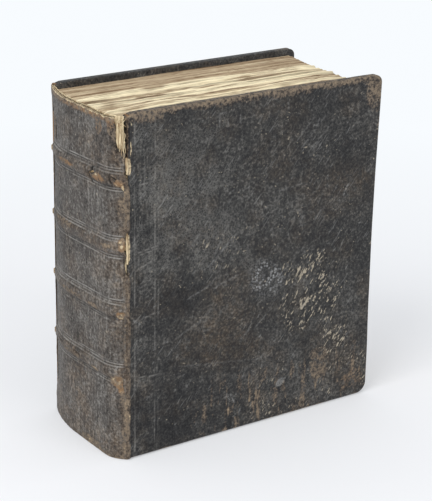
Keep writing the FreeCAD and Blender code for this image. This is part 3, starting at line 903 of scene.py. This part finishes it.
def spine_masks(s, z):
    """The wear seen on the spine, by the way round it from the front joint, with painted shade under the bands and
    ruled lines and in the cracks.
    """
    grain = np.clip(ripple(s / 5, z / 5, 61, 3), -1.1, 1.1)
    fine = ripple(s / 1.8, z / 1.8, 62, 2)
    joint = smooth(6.0 + 1.5 * grain, 2.0, s) * smooth(47, 40, z)
    rough = 1 + 0.45 * grain + 0.2 * fine
    wear = highest(
        0.56 * smooth(192.4 + 1.6 * grain, 195.8, z),
        0.58 * smooth(3.2 + 2.4 * grain, 0.4, z) * smooth(70, 34, s + 5 * grain),
        0.55 * smooth(7.0 + 2.0 * grain, 1.0, z) * smooth(15, 3, s),
        0.56 * joint * (0.9 + 0.3 * fine),
        0.34 * smooth(3.6 + grain, 0.3, s),
        *(power * smooth(0.03, 0.6, spot(s, z, *place) * rough) for *place, power in SPINE_WEAR),
    )
    orange = highest(*(smooth(0.0, 0.5, spot(s, z, *place)) for place in SPINE_RUST))
    cream = highest(
        0.9 * smooth(SPINE_TOP - 1.5 + 0.4 * fine, SPINE_TOP - 0.7, z),
        *(0.95 * smooth(0.2, 0.6, spot(s, z, *place) + 0.12 * fine) for place in SPINE_CREAM),
    )
    shaded_crack = highest(*(smooth(0.15, 0.55, stroke(s + 0.3 * fine, z, *place)) for place in SPINE_CRACKS))
    haze = 0.15 + 0.5 * grain
    brown = 0.6 * smooth(26, 4, z) + spots(s, z, SPINE_BROWN) + 0.6 * smooth(14, 2, s)
    for height in BAND_HEIGHTS:
        brown = brown + 0.6 * smooth(5.5, 2.0, np.abs(z - band_middle(height, s)))
    line, dark_and_shade = spine_lines(s, z)
    return {
        "wear": wear, "orange": orange, "cream": cream, "shaded_crack": shaded_crack, "haze": haze,
        "brown": np.clip(brown, 0, 1), "line": line, "dark_and_shade": dark_and_shade,
    }


def spine_lines(s, z):
    """The ruled lines beside the bands, and the shade under them and under the bands."""
    line, dark_and_shade = np.zeros_like(s), np.zeros_like(s)
    reach = within(s, 1.5, 4.0, 80, 86)
    for height in BAND_HEIGHTS:
        off = z - band_middle(height, s)
        dark_and_shade = np.maximum(dark_and_shade, 0.55 * smooth(1.7, 0.3, np.abs(off + BAND_W / 2)))
        for shift in LINES_ABOVE + LINES_BELOW:
            away = off - shift + 0.12 * ripple(s / 11, height + shift, 71)
            strength = np.clip(0.46 + 0.5 * ripple(s / 8, height * 3 + shift, 72, 2), 0, 1) * reach
            strength = strength * (1.0 if shift > 0 else 0.72)
            line = np.maximum(line, strength * smooth(LINE_W, 0.05, np.abs(away)))
            dark_and_shade = np.maximum(dark_and_shade, 0.7 * strength * smooth(0.6, 0.1, np.abs(away + 0.72)))
    return line, dark_and_shade


def back_waist(s, z):
    """How far the leather is drawn in beside the back joint."""
    return (0.7 * smooth(64, 80, s) + 0.4 * smooth(80, 85, s)) * within(z, 8, 30, 182, 196)


def spine_relief(s, z, masks):
    """The leather's rise over the bands, its ruled lines and its unevenness."""
    lift = 0.10 * ripple(s / 16, z / 16, 81, 2) + 0.07 * ripple(s / 2.6, z / 4.5, 82, 2) - 0.12
    fade = smooth(0.0, 4.0, s) * smooth(SPINE_ARC + 2, SPINE_ARC - 3, s)
    for number, height in enumerate(BAND_HEIGHTS):
        off = z - band_middle(height, s)
        worn = 0.96 + 0.08 * ripple(s / 9, number, 83, 2)
        lift = lift + BAND_RISE * fade * worn * smooth(BAND_W * 0.54, BAND_W * 0.16, np.abs(off))
        for edge in (-1, 1):
            lift = lift - 0.22 * fade * smooth(0.9, 0.0, np.abs(off - edge * BAND_W * 0.58))
    lift = lift - back_waist(s, z)
    lift = lift - 0.28 * masks["line"] - 0.9 * masks["shaded_crack"] - 0.15 * smooth(0.4, 0.9, masks["wear"])
    return np.maximum(lift, 0.25 - SPINE_LEATHER_T)


def make_spine():
    """The spine leather, as thick as it is in the solids, with torn edges at joint and head."""
    share = np.linspace(0, 1, SPINE_COLUMNS)
    z_base, t = np.meshgrid(spine_rows(), share, indexing="ij")
    low, high = spine_front_edge(z_base), spine_back_edge(z_base)
    s = low + (high - low) * t
    z = z_base + within(z_base, 30, 50, 168, 186) * band_middle(0.0, s)
    fray = smooth(SPINE_TOP - 6, SPINE_TOP, z_base)
    z = z - fray * (0.3 + 0.3 * ripple(s / 4.5, 0.4, 91, 3)) * smooth(SPINE_ARC + 4, SPINE_ARC - 26, s)
    masks = spine_masks(s, z)
    skin = Skin()
    outer = skin.grid(spine_place(s, z, spine_relief(s, z, masks)), **masks)
    inner = skin.grid(spine_place(s, z, -SPINE_LEATHER_T), wear=0.9, cream=0.6)
    skin.shell(outer, inner)
    return skin.build("spine_cover_leather", lit_spine_leather)


# The text block.
CLUMPS = 88
HEAD_POINTS = 104
FORE_POINTS = 66
TAIL_POINTS = 42
BACK_POINTS = 12
LEAF_LOW_Y = MID_Y - 35.15
LEAF_HIGH_Y = MID_Y + 35.15
SHOULDER_X = HINGE_X - JOINT_GAP / 2
BLOCK_DEPTH = 1.7  # of the spine folds inside the leather's outline
HEAD_Z = 195.7
TAIL_Z = 3.9
FORE_X = FRONT_FORE_X - 8.5
NEAR_X = SHOULDER_X + 2.0  # the points are close together up to here
CORNER_X = FORE_X - 1.6  # a head edge ends here, and its corner begins
CORNER_H = 2.0
FRONT_FAN, BACK_FAN = 3.6, 0.9  # how far the folds fan out at the front and the back
FAN_W = 3.5


def fold_x(y):
    """Where the spine folds are, for a place across the thickness."""
    front = FRONT_HUB_X - np.sqrt(np.maximum((FRONT_R - BLOCK_DEPTH) ** 2 - (y - FRONT_HUB_Y) ** 2, 1))
    back = BACK_HUB_X - np.sqrt(np.maximum((BACK_R - BLOCK_DEPTH) ** 2 - (y - BACK_HUB_Y) ** 2, 1))
    flat = HINGE_X - SPINE_BULGE + BLOCK_DEPTH
    return np.where(y < FRONT_HUB_Y, front, np.where(y > BACK_HUB_Y, back, flat))


def fanned(fan, x):
    """How far a fold is bent across the thickness, behind the shoulder."""
    return fan * np.clip((SHOULDER_X - x) / FAN_W, 0, 1)


# The pale torn strips and the dark sunk ones across the thickness, the dark ones painted with shade: place and
# half width.
PALE_LEAVES = (
    (13.6, 0.9), (9.6, 2.2), (4.6, 1.7), (-1.2, 1.5), (-6.6, 1.4), (-13.0, 0.7), (-20.0, 0.8),
    (-24.5, 0.6), (-31.4, 1.8),
)
DARK_LEAVES = (
    (11.7, 0.6), (6.8, 0.7), (1.5, 0.9), (-4.6, 0.8), (-10.2, 0.7), (-17.5, 0.6), (-28.4, 0.7),
)


def strip_at(y, strips):
    """How far a place across the thickness lies within a set of strips."""
    return np.max([smooth(half, 0.45 * half, np.abs(y - place)) for place, half in strips], axis=0)


class Clump:
    """A few leaves that hold together, and how their edges run. The front ones are lifted and torn."""

    def __init__(self, number, middle, random):
        self.seed = 300 + number
        self.middle = middle
        self.loose = float(smooth(19, 11, middle))
        self.torn = 0.25 + 0.75 * self.loose
        pale, dark_and_shade = (float(strip_at(middle, strips)) for strips in (PALE_LEAVES, DARK_LEAVES))
        base = random.normal(0, 0.10 + 0.22 * self.loose) + (0.9 * pale - 1.5 * dark_and_shade - 0.2) * self.loose
        self.base = base + 0.4 * float(smooth(-27, -31, middle)) + 0.9 * float(smooth(18, 33, middle))
        self.fore_base = random.normal(0, 0.25) - 0.6 * float(smooth(0, -28, middle))
        self.tint = random.uniform(-0.16, 0.16)
        # how far a clump stands apart, which only sets how dark the painted shade is in the gap at its first row
        self.parting_shade = 0.5 * self.loose * random.uniform(0, 1)

    def head(self, xs):
        """Height of the head edge above its mean, along the leaf."""
        long_wave = ripple(xs / 42, self.seed * 0.37, self.seed)
        short = ripple(xs / 7, self.seed * 0.61, self.seed + 1, 2)
        level = np.clip(self.base + self.torn * (0.75 * long_wave + 0.26 * short), -2.6, 2.7)
        droop = 1.3 * smooth(FORE_X - 16, FORE_X, xs) * self.torn
        return level - droop - 1.0 * smooth(SHOULDER_X - 1.0, SHOULDER_X - 6.0, xs)

    def fore(self, zs):
        """Reach of the fore-edge beyond its mean, up the leaf."""
        wave = ripple(zs / 50, self.seed * 0.23, self.seed + 2) * 0.5
        short = ripple(zs / 6, self.seed * 0.11, self.seed + 3) * 0.16
        return np.clip(self.fore_base + wave + short, -1.6, 1.3)

    def tail(self, xs):
        """Reach of the tail edge below its mean, along the leaf."""
        wave = 0.35 * ripple(xs / 30, self.seed * 0.41, self.seed + 4)
        return np.clip(wave + 0.12 * ripple(xs / 5, self.seed, self.seed + 5), -0.8, 0.5)

    def row(self, y, sunk):
        """One closed line: head, fore-edge, tail and fold. Sunk draws it in between clumps."""
        share = (y - MID_Y) / (LEAF_HIGH_Y - MID_Y)
        fan = (FRONT_FAN if share < 0 else BACK_FAN) * share**3
        x_fold = SHOULDER_X
        for _ in range(12):
            x_fold = float(fold_x(y + fanned(fan, x_fold)))
        x_fold = min(x_fold, SHOULDER_X - 0.05)
        near = np.linspace(x_fold, NEAR_X, 7)
        far = np.linspace(NEAR_X, CORNER_X, HEAD_POINTS - 6)[1:]
        xs = np.concatenate([near, far])
        top = HEAD_Z + self.head(xs) - sunk
        x_out = FORE_X + self.fore(top[-1] - CORNER_H) - sunk
        corner = np.array([0.2, 0.55, 0.85]) * math.pi / 2
        corner_x = xs[-1] + (x_out - xs[-1]) * np.sin(corner)
        corner_z = top[-1] - 1.8 * (1 - np.cos(corner))
        low = TAIL_Z - self.tail(np.array([CORNER_X]))[0] + sunk
        zs = np.linspace(top[-1] - CORNER_H, low + CORNER_H, FORE_POINTS)
        back_xs = np.concatenate([np.linspace(CORNER_X, NEAR_X, TAIL_POINTS), near[-2::-1]])
        bottom = TAIL_Z - self.tail(back_xs) + sunk
        folds = np.linspace(bottom[-1], top[0], BACK_POINTS + 2)[1:-1]
        fold_xs = np.full(BACK_POINTS, x_fold)
        x = np.concatenate([xs, corner_x, FORE_X + self.fore(zs) - sunk, back_xs, fold_xs])
        z = np.concatenate([top, corner_z, zs, bottom, folds])
        return x, y + fanned(fan, x), z

    def sway(self, x):
        """How far the leaves wander across the thickness."""
        wave = 0.45 * ripple(x / 38, self.middle / 14, 7) + 0.25 * ripple(x / 16, self.middle / 5, 8)
        held = within(self.middle, LEAF_LOW_Y, LEAF_LOW_Y + 3, LEAF_HIGH_Y - 3, LEAF_HIGH_Y)
        return wave * held * smooth(SHOULDER_X, SHOULDER_X + 12, x)

    def looks(self, x, z):
        """The masks of a row: bright torn edges and stained ones at the head, even ones elsewhere."""
        up = smooth(HEAD_Z - 5, HEAD_Z - 3, z)
        strayed = self.middle + 1.3 * ripple(x / 36, self.middle / 9, 77, 2)
        pale, dark_and_shade = strip_at(strayed, PALE_LEAVES), strip_at(strayed, DARK_LEAVES)
        faded = smooth(-1.3, 0.2, ripple(x / 30, self.middle / 4, 78, 2))
        bright = (0.16 + 0.14 * self.loose + self.tint + 0.75 * pale * faded) * up + 0.24 * (1 - up)
        # brown on the dark strips is painted shade of their sunk leaves; it is also browner towards the fore-edge
        stain_and_shade = (0.75 * dark_and_shade * faded + 0.20 * smooth(FORE_X - 14, FORE_X, x)) * up
        return {"bright": bright, "stain_and_shade": stain_and_shade}


def make_block():
    """The leaves: clumps of a few sheets each, tidy at the back and lifted and torn towards the front."""
    random = np.random.default_rng(5)
    widths = random.uniform(0.45, 1.5, CLUMPS)
    shares = np.concatenate([[0], np.cumsum(widths)]) / widths.sum()
    bounds = LEAF_LOW_Y + (LEAF_HIGH_Y - LEAF_LOW_Y) * shares
    skin = Skin()
    rows = []
    for number, (y_low, y_high) in enumerate(zip(bounds[:-1], bounds[1:])):
        clump = Clump(number, (y_low + y_high) / 2, random)
        for share, sunk in ((0.0, random.uniform(0.15, 0.7)), (0.16, 0.06), (0.5, 0.0), (0.84, 0.06)):
            x, y, z = clump.row(y_low + share * (y_high - y_low), sunk)
            # the first row of each clump, drawn in as the gap, is darkened with painted shade
            gap = 0.15 + clump.parting_shade if share == 0.0 else 0.0
            leaf = 1.0 if not rows else 0.0
            points = np.stack([x, y + clump.sway(x), z], -1)
            rows.append(skin.grid(points, gap=gap, leaf=leaf, **clump.looks(x, z)))
    rows.append(skin.grid(np.stack(clump.row(LEAF_HIGH_Y, 0.3), -1), bright=0.2, leaf=1.0))
    numbers = np.stack(rows)
    skin.quads(np.concatenate([numbers, numbers[:, :1]], axis=1))
    skin.cap(numbers[0])
    skin.cap(numbers[-1])
    return skin.build("leaves", page_edges)


# Lining, joint leather and torn shreds.
def sheet(skin, s, z, lift, thickness, **masks):
    """A thin sheet following the spine, closed all round."""
    top = skin.grid(spine_place(s, z, lift), **masks)
    under = skin.grid(spine_place(s, z, lift - thickness), **masks)
    skin.shell(top, under)


def make_head_lining():
    """The parchment strip behind the head panel: its top edge shows, and its torn edge in the joint."""
    low = BAND_HEIGHTS[0] + 3.6
    z, t = np.meshgrid(np.linspace(low, LINING_TOP, 60), np.linspace(0, 1, 90), indexing="ij")
    start = 2.5 + 0.5 * ripple(z / 4, 0.2, 101, 2)
    s = start + (SPINE_ARC - 0.6 - start) * t
    z = z + smooth(LINING_TOP - 3, LINING_TOP, z) * (0.25 * ripple(s / 3, 0.7, 102, 2) - 0.15)
    curl = 0.9 * smooth(5.0, 1.5, s) * smooth(170, 178, z) * smooth(199, 194, z)
    skin = Skin()
    sheet(skin, s, z, -SPINE_LEATHER_T - GLUE_T + curl, LINING_T)
    return skin.build("head_lining", parchment)


def make_shreds():
    """Torn shreds of lining and thread in the front joint."""
    skin = Skin()
    scraps = (
        # start and end round the spine, low and high, lift
        (2.6, 6.4, 181.5, 195.5, 0.35), (-0.1, 1.6, 167.0, 176.4, 0.20), (-0.2, 1.1, 116.5, 134.0, 0.15),
        (2.3, 4.3, 124.6, 129.0, 0.12), (1.6, 3.4, 158.6, 161.8, 0.25), (3.0, 4.4, 86.4, 88.9, 0.12),
    )
    for number, (s_low, s_high, z_low, z_high, rise) in enumerate(scraps):
        rows = int((z_high - z_low) / 0.5) + 4
        z, t = np.meshgrid(np.linspace(z_low, z_high, rows), np.linspace(0, 1, 9), indexing="ij")
        share = (z - z_low) / (z_high - z_low)
        ragged = 0.35 * ripple(z / 1.6, number * 3.3, 111, 2)
        pinch = 0.25 + 0.75 * np.sin(np.clip(share, 0.05, 0.95) * math.pi) ** 0.4
        centre = (s_low + s_high) / 2 + 0.3 * ripple(z / 5, number, 112)
        s = centre + (t - 0.5) * (s_high - s_low + ragged) * pinch
        z = z + 0.5 * ripple(t * 5, number, 113, 2) * (smooth(0.1, 0, share) + smooth(0.9, 1, share))
        lift = rise + 0.35 * ripple(s / 0.8, z / 6, 114) + 0.3 * np.sin(t * math.pi)
        sheet(skin, np.maximum(s, -0.2), z, lift - 0.3, 0.3)
    return skin.build("joint_shreds", parchment)


CROSSING_THREADS = (
    ((7.2, 197.6), (1.0, 193.4)), ((0.8, 197.8), (5.6, 192.0)), ((6.4, 195.2), (2.0, 197.9)),
    ((5.8, 193.0), (3.0, 189.0)),
)  # ends of four threads, round the spine and in height


def make_threads():
    """Loose sewing threads and fibres at the torn head of the joint."""
    random = np.random.default_rng(12)
    curve = bpy.data.curves.new("joint_threads", "CURVE")
    curve.dimensions = "3D"
    curve.bevel_depth = 0.22 * MM
    curve.bevel_resolution = 2
    runs = list(CROSSING_THREADS)
    runs += [((random.uniform(1.5, 5.4), random.uniform(183, 196)), None) for _ in range(9)]
    for start, end in runs:
        if end is None:
            end = (start[0] + random.normal(0, 0.5), start[1] - random.uniform(4, 11))
        spline = curve.splines.new("NURBS")
        spline.points.add(4)
        for k in range(5):
            share = k / 4
            s = start[0] + (end[0] - start[0]) * share + random.normal(0, 0.25)
            z = start[1] + (end[1] - start[1]) * share
            lift = 0.1 + 0.7 * math.sin(share * math.pi) + random.uniform(-0.1, 0.2)
            place = spine_place(max(s, 0.0), z, lift) * MM
            spline.points[k].co = (*place, 1.0)
            spline.points[k].radius = 1.0 - 0.5 * abs(share - 0.5)
        spline.order_u = 3
        spline.use_endpoint_u = True
    curve.materials.append(parchment)
    return link(bpy.data.objects.new("joint_threads", curve))


JOINT_SPINE_W = 2.9  # reach of the joint leather over the spine
JOINT_COVER_W = 1.5  # and over the cover


def joint_strip(skin, side, z_low, z_high):
    """A length of the leather that bends at a joint: two low worn ridges, tapering at torn ends."""
    rows = max(int((z_high - z_low) / 0.8), 6)
    z, p = np.meshgrid(np.linspace(z_low, z_high, rows), np.linspace(-1, 1, 19), indexing="ij")
    taper = np.ones_like(z)
    if z_low > 2:
        taper = smooth(z_low - 0.2, z_low + 2.5, z)
    if z_high < BOARD_H - 4:
        taper = taper * smooth(z_high + 0.2, z_high - 4.0, z)
    ragged = 0.88 + 0.2 * ripple(z / 5, side, 121, 3)
    off = p * np.where(p < 0, JOINT_SPINE_W, JOINT_COVER_W) * ragged * (0.35 + 0.65 * taper)
    crown = np.sqrt(np.clip(1 - p**2, 0, 1))
    groove = smooth(0.6, 0.0, np.abs(off + 0.9))
    ridge = 0.45 * crown * (0.6 + 0.4 * taper) - 0.30 * groove
    ridge = ridge + 0.10 * ripple(off / 1.1, z / 2.4, 122, 2) - (0.54 if side == BACK else 0.14)
    arc = np.maximum(-off, 0)
    on_spine = spine_place(arc if side == FRONT else SPINE_ARC - arc, z, ridge)
    on_cover = np.stack([HINGE_X + off, np.full_like(off, FACE_Y[side]) + side * ridge, z], -1)
    share = smooth(-0.45, 0.45, off)[..., None]
    points = on_spine * (1 - share) + on_cover * share
    if side == BACK:
        waist = back_waist(SPINE_ARC, z)
        points[..., 0] += waist * smooth(2.5, 0.0, np.abs(off))
        points[..., 1] -= waist * smooth(2.0, 0.0, np.abs(off))
    inward = np.array([0.5, -0.86 * side, 0.0]) * 0.30
    below = points + inward * (0.25 + 0.75 * crown[..., None])
    grain = ripple(off / 1.4, z / 3, 123, 3)
    wear = 0.30 + 0.18 * grain + 0.20 * smooth(46, 38, z) + 0.16 * smooth(134, 142, z)
    line = 0.25 * smooth(0.4, 0.05, np.abs(off + 1.9))
    # less haze in the groove darkens it: painted shade in the joint groove
    top = skin.grid(points, wear=wear, brown=1.0, haze=-0.3 - 0.8 * groove, line=line)
    under = skin.grid(below, wear=0.8)
    skin.shell(top, under)


def make_joint(side, spans, name):
    """The leather that bends at one joint."""
    skin = Skin()
    for z_low, z_high in spans:
        joint_strip(skin, side, z_low, z_high)
    return skin.build(name, lit_spine_leather)


def on_body(piece, body, slot, *nodes):
    """Puts a piece on its body and hides the nodes that it stands for. The slot is not used."""
    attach(piece, body)
    if nodes:
        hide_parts(*nodes)


FINE_STEP = 0.72
COARSE_STEP = 1.25
front = make_cover(FRONT, FRONT_FORE_X, FINE_STEP, "front_cover_leather")
on_body(front, "front_cover", "leather", "front_leather")
back = make_cover(BACK, BACK_FORE_X, COARSE_STEP, "back_cover_leather")
on_body(back, "back_cover", "leather", "back_leather")
on_body(make_spine(), "book_block", "leather", "spine_leather")
on_body(make_block(), "book_block", "paper", "text_block")
on_body(make_head_lining(), "book_block", "lining", "spine_lining_1")
on_body(make_shreds(), "book_block", "lining")
on_body(make_threads(), "book_block", "cord")

for side, spans, body in (
    (FRONT, ((0.5, 110.0), (134.5, 161.0)), "front_cover"),
    (BACK, ((0.5, 166.0), (182.0, 198.0)), "back_cover"),
):
    strip = make_joint(side, spans, body.replace("cover", "joint_leather"))
    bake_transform(strip)

looks = {"board": board_wood, "paper": endpaper, "cord": hemp}
looks.update({"lining": parchment, "leather": cover_leather})
for part in frame["record"]["subparts"]:
    mesh = frame["nodes"][part["node"]].data
    mesh.materials.clear()
    mesh.materials.append(looks[part["material_slot"]])

# The floor, the light and the camera, in metres.
PALE = (0.937, 0.969, 0.999)
FLOOR_TONES = (0.860, 0.865, 0.895), (0.885, 0.890, 0.915)
FLOOR_REACH = 6.0
FLOOR_DROP = 0.0003  # below the tail edges
SHADOW_NEAR, SHADOW_FAR = 0.12, 0.75  # the floor passes into the background between these
SKY_TONE = (0.970, 0.985, 1.0)
SKY_POWER = 0.74
LAMP_TONE = (1.0, 0.985, 0.96)
LAMP_AIM = (0, 0, 0.1)


def make_floor():
    """A wide pale floor that passes into the pale background."""
    f = Finish("floor_finish")
    away = f.add("ShaderNodeVectorMath", {0: f.place}, operation="LENGTH").outputs["Value"]
    surface = f.surface(f.blend(f.noise(160.0), *FLOOR_TONES), 0.9, 0.15)
    glow = f.add("ShaderNodeEmission", {"Color": (*PALE, 1.0), "Strength": 1.0})
    fade = f.times(f.total(0.25, (f.between(away, SHADOW_NEAR, SHADOW_FAR), 0.82)), f.seen())
    work = bmesh.new()
    bmesh.ops.create_grid(work, x_segments=8, y_segments=8, size=FLOOR_REACH)
    mesh = bpy.data.meshes.new("floor")
    work.to_mesh(mesh)
    work.free()
    mesh.materials.append(f.end(f.mixed(fade, surface, glow)))
    floor = link(bpy.data.objects.new("floor", mesh))
    floor.location.z = -FLOOR_DROP


def make_world():
    """Even light all round, and a pale background where the camera looks past the book."""
    f = Finish("studio", bpy.data.worlds)
    light = f.add("ShaderNodeBackground", {"Color": (*SKY_TONE, 1.0), "Strength": SKY_POWER})
    pale = f.add("ShaderNodeBackground", {"Color": (*PALE, 1.0), "Strength": 1.0})
    bpy.context.scene.world = f.end(f.mixed(f.seen(), light, pale), "World")


def make_lamp(name, place, size, power):
    """A soft square lamp, turned towards the book."""
    lamp = bpy.data.lights.new(name, "AREA")
    lamp.size = size
    lamp.energy = power
    lamp.color = LAMP_TONE
    made = link(bpy.data.objects.new(name, lamp))
    made.location = place
    made.rotation_euler = (Vector(LAMP_AIM) - Vector(place)).to_track_quat("-Z", "Y").to_euler()


CAMERA_PLACE = (-0.53022, -0.77300, 0.43690)
CAMERA_AZIMUTH = -34.645
CAMERA_ELEVATION = 19.925
CAMERA_ROLL = 0.923
FOCAL_PIXELS = 1706.4
IMAGE_H_PIXELS = 501
SENSOR_MM = 36.0


def make_camera():
    """The camera of the photograph, found from the book's corners in it."""
    azimuth, elevation, roll = map(math.radians, (CAMERA_AZIMUTH, CAMERA_ELEVATION, CAMERA_ROLL))
    away = Vector((math.sin(azimuth), -math.cos(azimuth), 0)) * math.cos(elevation)
    away.z = math.sin(elevation)
    right = Vector((0, 0, 1)).cross(away).normalized()
    up = away.cross(right)
    level = Matrix((right, up, away)).transposed()
    data = bpy.data.cameras.new("camera")
    data.sensor_width = SENSOR_MM
    data.lens = FOCAL_PIXELS / IMAGE_H_PIXELS * SENSOR_MM
    data.clip_end = 50.0
    camera = link(bpy.data.objects.new("camera", data))
    turned = level @ Matrix.Rotation(roll, 3, "Z")
    camera.matrix_world = Matrix.Translation(CAMERA_PLACE) @ turned.to_4x4()
    bpy.context.scene.camera = camera


make_floor()
make_world()
make_lamp("key_lamp", (-1.3, -0.5, 1.5), size=1.1, power=18.0)
make_lamp("fill_lamp", (0.4, -1.8, 0.9), size=1.2, power=9.0)
make_camera()
bpy.context.scene.view_settings.view_transform = "Standard"
